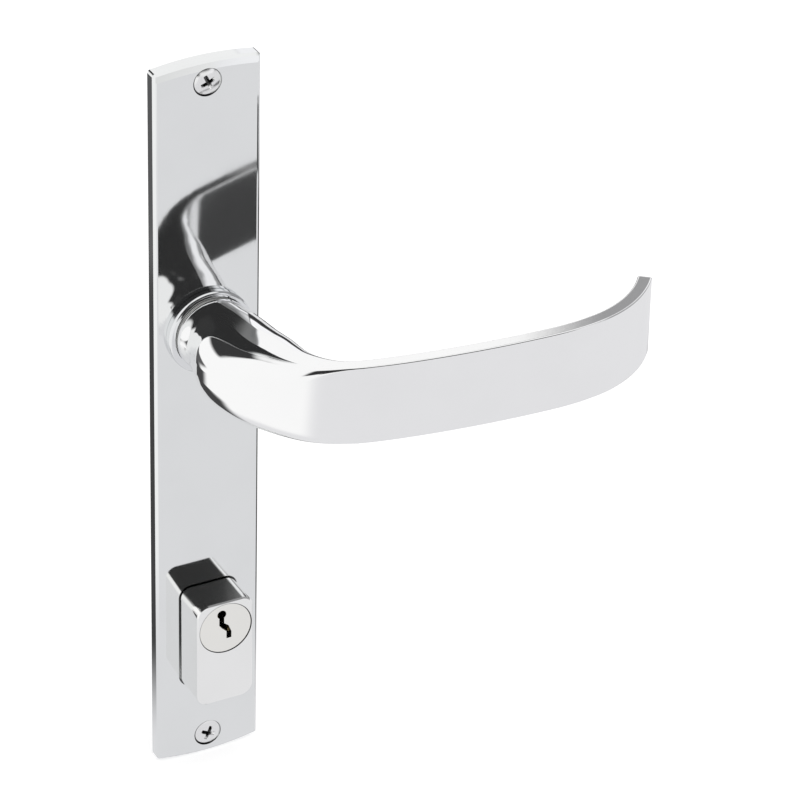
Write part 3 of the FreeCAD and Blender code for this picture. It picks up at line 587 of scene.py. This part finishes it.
def bevel_by_shading(tree, sizes):
    """Tilt the shading of the plate's front along its edges, as a wide shallow bevel would.

    The height rises evenly from each edge over the bevel's width, and the lower of the two heights
    counts, which mitres the corners. The ends bow outwards, so their edge lies at the end less the
    bow times the square of the share of half the width. The plate's back is made duller.
    """
    link = tree.links.new
    x, _, z = components(tree, object_place(tree))
    half_width = PLATE_HIGH.x
    half_length = (PLATE_HIGH.z - PLATE_LOW.z) / 2
    side = calculate(tree, "ABSOLUTE", x)
    above = calculate(tree, "SUBTRACT", z, (PLATE_HIGH.z + PLATE_LOW.z) / 2)
    end = calculate(tree, "ABSOLUTE", above)
    square = calculate(tree, "POWER", side, 2.0)
    bowed = calculate(tree, "MULTIPLY_ADD", square, END_BOW / half_width ** 2, end)
    heights = [
        rescale(tree, value, edge, edge - width, -width * sizes.edge_slope, 0.0)
        for value, edge, width in (
            (side, half_width, sizes.edge_width),
            (bowed, half_length, sizes.end_width),
        )
    ]
    grain = next(node for node in tree.nodes if node.type == "BUMP")
    bevel = add(tree, "ShaderNodeBump")
    bevel.inputs["Distance"].default_value = 1.0
    link(calculate(tree, "MINIMUM", *heights), bevel.inputs["Height"])
    link(bevel.outputs["Normal"], grain.inputs["Normal"])
    facing = add(tree, "ShaderNodeNewGeometry")
    _, normal_y, _ = components(tree, facing.outputs["True Normal"])
    link(calculate(tree, "LESS_THAN", normal_y, -FACING_LIMIT), bevel.inputs["Strength"])
    back = calculate(tree, "GREATER_THAN", normal_y, FACING_LIMIT)
    rough = tree.nodes["Principled BSDF"].inputs["Roughness"]
    plain = rough.links[0].from_socket
    link(calculate(tree, "MULTIPLY_ADD", back, sizes.back_roughness, plain), rough)


def gap_shade_group():
    """Painted shade of a gap: colour darkened inside a circle about an axis along Y, near its
    depth.
    """
    group, source, result = new_group(
        "Round gap",
        [
            ("Color", "NodeSocketColor", (0.8, 0.8, 0.8, 1.0)),
            ("Centre", "NodeSocketVector", (0.0, 0.0, 0.0)),
            ("Radius", "NodeSocketFloat", 0.005),
        ],
        [("Color", "NodeSocketColor")],
    )
    link = group.links.new
    offset = add(group, "ShaderNodeVectorMath", operation="SUBTRACT")
    link(object_place(group), offset.inputs[0])
    link(source.outputs["Centre"], offset.inputs[1])
    _, depth, _ = components(group, offset.outputs["Vector"])
    near = calculate(group, "COMPARE", depth, 0.0, GAP_SHADE_DEPTH)
    flat = add(group, "ShaderNodeVectorMath", operation="MULTIPLY")
    flat.inputs[1].default_value = (1.0, 0.0, 1.0)
    link(offset.outputs["Vector"], flat.inputs[0])
    reach = add(group, "ShaderNodeVectorMath", operation="LENGTH")
    link(flat.outputs["Vector"], reach.inputs[0])
    beyond = calculate(group, "SUBTRACT", reach.outputs["Value"], source.outputs["Radius"])
    inside = rescale(group, beyond, 0.0, -GAP_SHADE_SOFTNESS)
    both = calculate(group, "MULTIPLY", inside, near)
    # The painted shade: the colour goes to a dark grey inside the circle
    dark = blend(group, both, source.outputs["Color"], grey(GAP_SHADE_GREY))
    link(dark, result.inputs["Color"])
    return group


def shade_round_gap(tree, centre, radius, shift, side):
    """Paint shade in a fitted piece's gap: a wider circle, moved towards its open side."""
    base = tree.nodes["Principled BSDF"].inputs["Base Color"]
    gap = add(tree, "ShaderNodeGroup")
    gap.node_tree = bpy.data.node_groups.get("Round gap") or gap_shade_group()
    x, y, z = centre
    gap.inputs["Centre"].default_value = (x + side[0] * shift, y, z + side[1] * shift)
    gap.inputs["Radius"].default_value = radius
    tree.links.new(base.links[0].from_socket, gap.inputs["Color"])
    tree.links.new(gap.outputs["Color"], base)


def dress(nodes, material):
    """Give solids of the frame a material."""
    for node in nodes:
        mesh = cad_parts[node].data
        mesh.materials.clear()
        mesh.materials.append(material)


def finish_piece(piece, material, body, slot, *replaced):
    """Give a new piece its material and body, and hide the solids it stands for; slot is not used.
    """
    piece.data.materials.append(material)
    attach(piece, body)
    if replaced:
        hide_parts(*replaced)


# Pieces


class GATE_LOCK_OT_lever(Operator):
    """Make the lever from its centre line and section"""

    bl_idname = "gate_lock.lever"
    bl_label = "Lever handle"

    def execute(self, context):
        sizes = context.scene.gate_lock_lever
        material = metal(
            "Polished chrome", sizes.finish, sizes.roughness, scale=45.0, grain=0.008
        )
        loops = np.concatenate([hub_loops(sizes), lever_loops(sizes)])
        lever = surface_object("lever_surface", closed(loops))
        middle = (GRUB_LOW.y + GRUB_HIGH.y) / 2
        hole = Vector((0.0, middle, GRUB_LOW.z - sizes.grip_height / 4))
        drill(lever, hole, GRUB_HIGH.x, sizes.grip_height / 2 + HOLE_OVERRUN)
        finish_piece(lever, material, "lever", "chromed_lever", "lever_handle")
        return {"FINISHED"}


def lever_line(sizes, count):
    """Distance, X, Y and heading along the lever's centre line.

    The heading rises evenly along each bend, so each bend is an arc. X and Y are the running sums
    of the heading's sine and cosine over short equal steps.
    """
    lengths = [
        sizes.neck_length, sizes.sweep_length, sizes.elbow_length, sizes.ease_length,
        sizes.bow_length, sizes.shoulder_length, sizes.curl_length,
    ]
    turns = [
        0.0, sizes.sweep_turn, sizes.elbow_turn, sizes.ease_turn,
        sizes.bow_turn, sizes.shoulder_turn, sizes.curl_turn,
    ]
    knots = np.concatenate([[0.0], np.cumsum(lengths)])
    headings = np.concatenate([[0.0], np.cumsum(turns)])
    distance = np.linspace(0.0, knots[-1], count)
    step = distance[1]
    middle = np.interp(distance[:-1] + step / 2, knots, headings)
    x = np.concatenate([[0.0], np.cumsum(np.sin(middle) * step)])
    y = neck_start(sizes) - np.concatenate([[0.0], np.cumsum(np.cos(middle) * step)])
    return distance, x, y, np.interp(distance, knots, headings)


def neck_start(sizes):
    """Depth at which the neck starts, just in front of the bush's flange."""
    return BUSH_LOW.y - sizes.neck_gap


def section_loop(outer, inner, half_height, corner, corner_steps=9):
    """Rectangles with rounded corners, one a row, as (across, up) points.

    Across runs from -outer to inner. Each quarter is an arc about its own corner's centre, and
    each flat side has a point near either end and one in its middle, so that its shading stays
    flat.
    """
    quarter = np.arange(4)
    rise = np.array([1, 1, -1, -1])
    turn = (quarter[:, None] + np.linspace(0.0, 1.0, corner_steps + 1)) * math.pi / 2
    side = np.stack([inner - corner, corner - outer, corner - outer, inner - corner], axis=1)
    across = side[:, :, None] + corner[:, None, None] * np.cos(turn)
    rise_centre = (half_height - corner)[:, None, None] * rise[:, None]
    up = rise_centre + corner[:, None, None] * np.sin(turn)
    corners = np.stack([across, up], axis=-1)
    following = np.roll(corners[:, :, :1], -1, axis=1)
    share = np.array(FLAT_SIDE_POINTS)[:, None]
    flats = corners[:, :, -1:] * (1 - share) + following * share
    return np.concatenate([corners, flats], axis=2).reshape(len(outer), -1, 2)


def section_rows(sizes, distance):
    """Outer reach, inner reach, half height and corner radius at distances along the lever.

    Between two rows of the table each value follows the cubic that meets both rows with the slope
    between their neighbours. Beyond the table all four keep the grip's values.
    """
    half = sizes.grip_thickness / 2
    rows = np.concatenate([NECK_SECTIONS, [(half, half, sizes.grip_height / 2, sizes.grip_edge)]])
    slope = np.gradient(rows, axis=0)
    slope[0] = 0.0
    slope[-1] = 0.0
    whole = sizes.neck_length + sizes.sweep_length + sizes.elbow_length
    place = np.clip(distance / whole, 0.0, 1.0) * (len(rows) - 1)
    row = np.minimum(place.astype(int), len(rows) - 2)
    share = (place - row)[:, None]
    ahead = share * share * (3 - 2 * share)
    values = rows[row] * (1 - ahead) + rows[row + 1] * ahead
    values += slope[row] * share * (1 - share) ** 2 - slope[row + 1] * share ** 2 * (1 - share)
    bound = np.minimum((values[:, 0] + values[:, 1]) / 2, values[:, 2])
    values[:, 3] = np.minimum(values[:, 3], bound * ROUNDEST_CORNER)
    return values


def lever_loops(sizes, count=280, tip_steps=5):
    """Loops of points round the lever from neck to tip, whose last loops round off the end."""
    distance, x, y, heading = lever_line(sizes, count)
    edge = sizes.grip_edge
    bend = np.linspace(0.0, math.pi / 2, tip_steps + 1)[1:]
    rows = np.concatenate([np.arange(count), np.full(tip_steps, -1)])
    inset = np.concatenate([np.zeros(count), edge * (1 - np.cos(bend))])
    forward = np.concatenate([np.zeros(count - 1), [-edge], edge * np.sin(bend) - edge])
    outer, inner, half_height, corner = section_rows(sizes, distance)[rows].T
    corner = np.maximum(corner - inset, edge * TIP_CORNER)
    loops = section_loop(outer - inset, inner - inset, half_height - inset, corner)
    turn = heading[rows][:, None]
    along = forward[:, None]
    across = loops[..., 0]
    return np.stack(
        [
            x[rows][:, None] + across * np.cos(turn) + along * np.sin(turn),
            y[rows][:, None] + across * np.sin(turn) - along * np.cos(turn),
            loops[..., 1],
        ],
        axis=-1,
    )


def hub_loops(sizes):
    """Round loops of the hub, from its back end to the neck, on the neck's columns."""
    start = neck_start(sizes)
    profile = np.array([
        (sizes.spool_radius, sizes.hub_back),
        (sizes.spool_radius, PLATE_HIGH.y),
        (sizes.journal_radius, PLATE_HIGH.y),
        (sizes.journal_radius, start),
    ])
    radius = profile[:, 0]
    section = section_loop(radius, radius, radius, radius * ROUNDEST_CORNER)
    depth = np.broadcast_to(profile[:, 1:], section.shape[:2])
    return np.stack([section[..., 0], depth, section[..., 1]], axis=-1)


class GATE_LOCK_OT_collar(Operator):
    """Make the collar as a turned ring with soft edges"""

    bl_idname = "gate_lock.collar"
    bl_label = "Collar ring"

    def execute(self, context):
        sizes = context.scene.gate_lock_collar
        outer = COLLAR_HIGH.x
        inner = BUSH_HIGH.x
        front = COLLAR_LOW.y
        back = COLLAR_HIGH.y
        corners = [(outer, back), (outer, front), (inner, front), (inner, back)]
        profile = round_corners(corners, [0.0, sizes.edge, sizes.lip, 0.0])
        whole = np.concatenate([profile, profile[:1]])
        ring = surface_object("collar_surface", lathe(whole, segments=128))
        material = metal("Collar chrome", sizes.finish, sizes.roughness, grain=0.01)
        finish_piece(ring, material, "trim", "chromed_ring", "collar_ring")
        return {"FINISHED"}


class GATE_LOCK_OT_screws(Operator):
    """Make the two fixing screws with domed heads, cross recesses and threads"""

    bl_idname = "gate_lock.screws"
    bl_label = "Fixing screws"

    def execute(self, context):
        sizes = context.scene.gate_lock_screws
        material = metal("Screw chrome", sizes.finish, sizes.roughness, grain=0.02)
        # Painted shade in the cross recess
        darken_recess(material.node_tree, sizes)
        inset = sizes.head_radius
        screws = [
            ("screw_top_surface", SCREW_HIGH.z - inset, sizes.recess_turn),
            ("screw_bottom_surface", SCREW_LOW.z + inset, -sizes.recess_turn),
        ]
        for name, z, turn in screws:
            screw = surface_object(name, screw_grid(sizes, z, turn))
            finish_piece(screw, material, "trim", "screw_steel", "fixing_screws")
        return {"FINISHED"}


def darken_recess(tree, sizes):
    """Painted shade in the cross: dark at the recess's depths, between the dome's rim and the neck.

    The countersunk underside at the same depths darkens with it, but is hidden in the plate.
    """
    _, depth, _ = components(tree, object_place(tree))
    deep = rescale(tree, depth, SCREW_LOW.y, SCREW_LOW.y + 2 * sizes.recess_depth)
    ramp = add(tree, "ShaderNodeValToRGB")
    points = ramp.color_ramp.elements
    for point, (position, darkness) in zip(points, (RECESS_SHADE_LEVELS[0], RECESS_SHADE_LEVELS[-1])):
        point.position = position
        point.color = grey(darkness)
    for position, darkness in RECESS_SHADE_LEVELS[1:-1]:
        points.new(position).color = grey(darkness)
    tree.links.new(deep, ramp.inputs["Fac"])
    base = tree.nodes["Principled BSDF"].inputs["Base Color"]
    unshaded = base.links[0].from_socket
    # The painted shade: the screw's colour goes towards a dark grey
    tree.links.new(blend(tree, ramp.outputs["Color"], unshaded, grey(RECESS_SHADE_GREY)), base)


def screw_grid(sizes, z, recess_turn, segments=120):
    """Rings of a screw from the middle of its head to the end of its thread.

    The head is a dome of the given rise, less a cross whose floor slopes up to its arms' ends. The
    thread's radius is a triangle wave of Y / pitch less the turn round the axis, which makes one
    helix.
    """
    crest = SCREW_LOW.y
    rim = crest + sizes.head_rise
    turn = np.linspace(0.0, 2 * math.pi, segments, endpoint=False)[None, :]
    head = np.linspace(0.0, sizes.head_radius, HEAD_RINGS)[:, None]
    dome_radius = (sizes.head_radius ** 2 + sizes.head_rise ** 2) / (2 * sizes.head_rise)
    dome = crest + dome_radius - np.sqrt(dome_radius ** 2 - head ** 2)
    across = np.abs(head * np.cos(turn - recess_turn))
    along = np.abs(head * np.sin(turn - recess_turn))
    start, end = (share * sizes.recess_width / 2 for share in RECESS_WALL)
    arm = np.maximum(smooth_step(across, start, end), smooth_step(along, start, end))
    floor = sizes.recess_span * RECESS_FLOOR
    slope = np.clip((sizes.recess_span / 2 - head) / floor, 0.0, 1.0)
    head_y = dome + sizes.recess_depth * arm * slope
    flare = sizes.head_radius - sizes.neck_radius
    neck = np.array([(sizes.neck_radius, rim + flare), (sizes.neck_radius, PLATE_HIGH.y)])
    thread_y = np.linspace(PLATE_HIGH.y, SCREW_HIGH.y, THREAD_RINGS)[:, None]
    phase = (thread_y / sizes.thread_pitch - turn / (2 * math.pi)) % 1.0
    depth = sizes.thread_radius - sizes.neck_radius
    fade = smooth_step(thread_y, SCREW_HIGH.y, SCREW_HIGH.y - sizes.thread_pitch)
    thread_radius = sizes.neck_radius + depth * (1 - np.abs(2 * phase - 1)) * fade
    neck_rings = (len(neck), segments)
    radius = np.concatenate([
        np.broadcast_to(head, head_y.shape),
        np.broadcast_to(neck[:, :1], neck_rings),
        thread_radius,
        np.zeros((1, segments)),
    ])
    y = np.concatenate([
        head_y,
        np.broadcast_to(neck[:, 1:], neck_rings),
        np.broadcast_to(thread_y, thread_radius.shape),
        np.full((1, segments), SCREW_HIGH.y),
    ])
    return np.stack([radius * np.cos(turn), y, z + radius * np.sin(turn)], axis=-1)


class GATE_LOCK_OT_finishes(Operator):
    """Give the plate, the cylinder and the mechanism behind the plate their metals"""

    bl_idname = "gate_lock.finishes"
    bl_label = "Metals of the solids"

    def execute(self, context):
        colours = context.scene.gate_lock_finish
        plate = metal("Plate chrome", colours.plate, colours.plate_roughness, grain=0.006)
        bevel_by_shading(plate.node_tree, colours)
        head = SCREW_HIGH.x
        # Painted shade in the gaps round the screws' heads
        for z in (SCREW_HIGH.z - head, SCREW_LOW.z + head):
            seat = (0.0, PLATE_LOW.y, z)
            gap = colours.seat_gap_shade
            shade_round_gap(plate.node_tree, seat, head + gap, gap, SEAT_SHADE_SIDE)
        dress(["backplate"], plate)
        nickel = metal("Satin nickel", colours.nickel, colours.nickel_roughness, grain=0.02)
        # Painted shade in the gap round the plug, wider at the lower right
        centre = (0.0, PLUG_LOW.y, PLUG_HIGH.z - PLUG_HIGH.x)
        radius = PLUG_HIGH.x + colours.gap_shade_width
        shade_round_gap(nickel.node_tree, centre, radius, colours.gap_shade_shift, PLUG_SHADE_SIDE)
        dress(["cylinder_body"], nickel)
        plug = metal("Plug nickel", colours.plug, colours.nickel_roughness, grain=0.02)
        dress(["cylinder_plug"], plug)
        for name, setting, roughness, haze, grain, starts in HIDDEN_METALS:
            hidden = metal(name, getattr(colours, setting), roughness, haze=haze, grain=grain)
            dress([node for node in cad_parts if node.startswith(starts)], hidden)
        dress(["bearing_bush"], plastic("Natural nylon", colours.nylon, NYLON_ROUGHNESS))
        return {"FINISHED"}


class GATE_LOCK_OT_stage(Operator):
    """Place the camera, the floor, the pale background and the lamps"""

    bl_idname = "gate_lock.stage"
    bl_label = "Studio"

    def execute(self, context):
        stage = context.scene.gate_lock_stage
        place_camera(context.scene, stage)
        make_floor(stage)
        make_world(context.scene, stage)
        for name, place, power, width in LAMPS:
            add_lamp(name, place, power, width)
        context.scene.view_settings.view_transform = "Standard"
        return {"FINISHED"}


def place_camera(scene, stage):
    """Camera at the photograph's angle: out along azimuth and elevation, then rolled."""
    level = math.cos(stage.elevation)
    back = Vector((
        -math.sin(stage.azimuth) * level,
        -math.cos(stage.azimuth) * level,
        math.sin(stage.elevation),
    ))
    right = Vector((0, 0, 1)).cross(back).normalized()
    up = back.cross(right)
    turned_right = right * math.cos(stage.roll) + up * math.sin(stage.roll)
    turned_up = back.cross(turned_right)
    camera = bpy.data.cameras.new("Camera")
    camera.lens = stage.lens
    camera.sensor_width = SENSOR_WIDTH
    view = bpy.data.objects.new("Camera", camera)
    scene.collection.objects.link(view)
    aim = Vector((stage.aim_x, 0.0, stage.aim_z))
    axes = Matrix((turned_right, turned_up, back)).transposed().to_4x4()
    view.matrix_world = Matrix.Translation(aim + back * stage.distance) @ axes
    scene.camera = view


def by_ray(tree, camera, glossy, other):
    """Colour socket that differs for the camera, for reflections and for plain light."""
    path = add(tree, "ShaderNodeLightPath")
    camera, glossy, other = (
        value if isinstance(value, bpy.types.NodeSocket) else grey(value)
        for value in (camera, glossy, other)
    )
    lit = blend(tree, path.outputs["Is Glossy Ray"], other, glossy)
    return blend(tree, path.outputs["Is Camera Ray"], lit, camera)


def panel_group():
    """Soft-edged rectangle: 1 inside and 0 outside, as the product of four smooth steps."""
    group, source, result = new_group(
        "Soft panel",
        [
            ("Across", "NodeSocketFloat", 0.0),
            ("Up", "NodeSocketFloat", 0.0),
            ("Left", "NodeSocketFloat", -1.0),
            ("Right", "NodeSocketFloat", 1.0),
            ("Low", "NodeSocketFloat", -1.0),
            ("High", "NodeSocketFloat", 1.0),
            ("Softness", "NodeSocketFloat", 0.1),
        ],
        [("Mask", "NodeSocketFloat")],
    )
    steps = []
    for value, low, high in (("Across", "Left", "Right"), ("Up", "Low", "High")):
        for first, second in ((value, low), (high, value)):
            inside = calculate(group, "SUBTRACT", source.outputs[first], source.outputs[second])
            share = calculate(group, "DIVIDE", inside, source.outputs["Softness"])
            steps.append(rescale(group, share, -0.5, 0.5, curve="SMOOTHSTEP"))
    mask = steps[0]
    for step in steps[1:]:
        mask = calculate(group, "MULTIPLY", mask, step)
    group.links.new(mask, result.inputs["Mask"])
    return group


def layer_panels(tree, across, up, ground, panels):
    """Colour of soft panels laid one over the other on a plain grey."""
    below = grey(ground)
    for *sides, softness, brightness in panels:
        panel = add(tree, "ShaderNodeGroup")
        panel.node_tree = bpy.data.node_groups.get("Soft panel") or panel_group()
        for label, value in zip(
            ("Across", "Up", "Left", "Right", "Low", "High", "Softness"),
            (across, up, *sides, softness),
        ):
            wire(tree, value, panel.inputs[label])
        above = (brightness, brightness, brightness * PANEL_BLUE, 1.0)
        below = blend(tree, panel.outputs["Mask"], below, above)
    return below


def bearing(tree, vector):
    """Socket with a vector's bearing, atan2(x, -y): 0 at the front, a quarter turn at the right."""
    x, y, _ = components(tree, vector)
    return calculate(tree, "ARCTAN2", x, calculate(tree, "MULTIPLY", y, -1.0))


def make_floor(stage):
    """Floor at the plate's foot: white to the camera but for the shadow, panels in reflections."""
    half = stage.floor_size / 2
    corners = [(-half, -half), (half, -half), (half, half), (-half, half)]
    mesh = bpy.data.meshes.new("floor")
    mesh.from_pydata([(x, y, PLATE_LOW.z) for x, y in corners], [], [(0, 1, 2, 3)])
    floor = bpy.data.objects.new("floor", mesh)
    bpy.context.scene.collection.objects.link(floor)
    material = bpy.data.materials.new("Pale floor")
    material.use_nodes = True
    tree = material.node_tree
    link = tree.links.new
    x, y, _ = components(tree, object_place(tree))
    glow = layer_panels(tree, x, y, 1.0, FLOOR_PANELS)
    shader = tree.nodes["Principled BSDF"]
    shader.inputs["Roughness"].default_value = 1.0
    shader.inputs["Specular IOR Level"].default_value = 0.0
    shader.inputs["Emission Strength"].default_value = 1.0
    seen = by_ray(tree, FLOOR_SEEN_GREY, 0.0, stage.floor_colour[0])
    link(seen, shader.inputs["Base Color"])
    link(by_ray(tree, FLOOR_SEEN_GLOW, glow, 0.0), shader.inputs["Emission Color"])
    mesh.materials.append(material)


def make_world(scene, stage):
    """Plain light, white to the camera; reflections see a room of light and dark panels."""
    world = bpy.data.worlds.new("Studio")
    scene.world = world
    world.use_nodes = True
    tree = world.node_tree
    direction = add(tree, "ShaderNodeTexCoord").outputs["Generated"]
    height = calculate(tree, "ARCSINE", components(tree, direction)[2])
    panels = [(*np.radians(panel[:5]), panel[5]) for panel in ROOM_PANELS]
    room = layer_panels(tree, bearing(tree, direction), height, 1.0, panels)
    colour_seen = by_ray(tree, 1.0, room, stage.daylight)
    tree.links.new(colour_seen, tree.nodes["Background"].inputs["Color"])


def add_lamp(name, place, power, size):
    """Square lamp that looks at the middle of the object."""
    lamp = bpy.data.lights.new(name, "AREA")
    lamp.energy = power
    lamp.size = size
    thing = bpy.data.objects.new(name, lamp)
    thing.visible_glossy = False
    bpy.context.scene.collection.objects.link(thing)
    away = Vector(place) - Vector(LAMP_AIM)
    facing = away.to_track_quat("Z", "Y").to_matrix().to_4x4()
    thing.matrix_world = Matrix.Translation(place) @ facing


class GATE_LOCK_PT_panel(Panel):
    """Lists the steps that make the gate lock handle"""

    bl_label = "Gate Lock"
    bl_idname = "GATE_LOCK_PT_panel"
    bl_space_type = "VIEW_3D"
    bl_region_type = "UI"
    bl_category = "Gate Lock"

    def draw(self, context):
        for step in STEPS:
            self.layout.operator(step.bl_idname)


SETTINGS = {
    "gate_lock_lever": LeverSettings,
    "gate_lock_collar": CollarSettings,
    "gate_lock_screws": ScrewSettings,
    "gate_lock_finish": FinishSettings,
    "gate_lock_stage": StageSettings,
}
STEPS = (
    GATE_LOCK_OT_stage,
    GATE_LOCK_OT_finishes,
    GATE_LOCK_OT_lever,
    GATE_LOCK_OT_collar,
    GATE_LOCK_OT_screws,
)


def register():
    for kind in (*SETTINGS.values(), *STEPS, GATE_LOCK_PT_panel):
        bpy.utils.register_class(kind)
    for name, kind in SETTINGS.items():
        setattr(bpy.types.Scene, name, PointerProperty(type=kind))


def unregister():
    for name in SETTINGS:
        delattr(bpy.types.Scene, name)
    for kind in (GATE_LOCK_PT_panel, *reversed(STEPS), *reversed(tuple(SETTINGS.values()))):
        bpy.utils.unregister_class(kind)


def main():
    register()
    bpy.ops.gate_lock.stage()
    bpy.ops.gate_lock.finishes()
    bpy.ops.gate_lock.lever()
    bpy.ops.gate_lock.collar()
    bpy.ops.gate_lock.screws()


if __name__ == "__main__":
    main()
